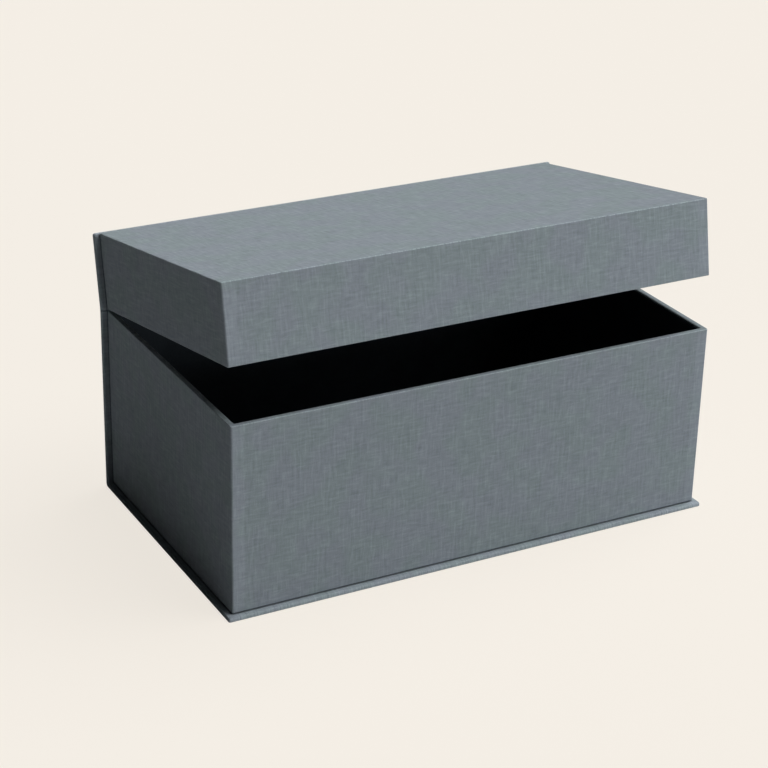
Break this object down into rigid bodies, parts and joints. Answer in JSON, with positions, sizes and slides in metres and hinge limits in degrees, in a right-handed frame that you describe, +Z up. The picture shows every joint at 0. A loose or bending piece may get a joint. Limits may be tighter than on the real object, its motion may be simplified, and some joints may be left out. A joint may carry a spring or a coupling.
{
  "type": "gift box",
  "caption": "Rectangular rigid box in book cloth: a deep tray glued into a three-part case, with a shallow lid on a cloth hinge at the back.",
  "frame": {"origin": "on the floor, at the middle of the tray's footprint, on the underside of the base", "axes": "+X to the right along the long side, +Y to the hinged back, +Z up"},
  "size_m": [0.358, 0.2162, 0.2211],
  "materials": {
    "book_cloth": "matte slate-grey book cloth with a fine uneven weave",
    "greyboard": "bare grey-brown binder's board",
    "lining_paper": "matte black lining paper",
    "gummed_paper": "brown gummed paper tape"
  },
  "bodies": {
    "base": {"base_board": "greyboard", "base_cloth": "book_cloth", "lower_back_board": "greyboard", "lower_back_cloth": "book_cloth", "hinge_cloth": "book_cloth", "tray_floor_board": "greyboard", "tray_front_board": "greyboard", "tray_back_board": "greyboard", "tray_left_board": "greyboard", "tray_right_board": "greyboard", "tray_corner_stays": "gummed_paper", "tray_cover_cloth": "book_cloth", "tray_wall_lining": "lining_paper", "tray_floor_lining": "lining_paper"},
    "lid": {"upper_back_board": "greyboard", "upper_back_cloth": "book_cloth", "lid_top_board": "greyboard", "lid_front_board": "greyboard", "lid_back_board": "greyboard", "lid_left_board": "greyboard", "lid_right_board": "greyboard", "lid_corner_stays": "gummed_paper", "lid_cover_cloth": "book_cloth", "lid_wall_lining": "lining_paper", "lid_top_lining": "lining_paper"}
  },
  "joints": [
    {"name": "lid_hinge", "type": "hinge", "parent": "base", "child": "lid", "pos_m": [0, 0.10295, 0.13295], "axis": [-1, 0, 0], "range_deg": [-10.5, 169.5]}
  ]
}
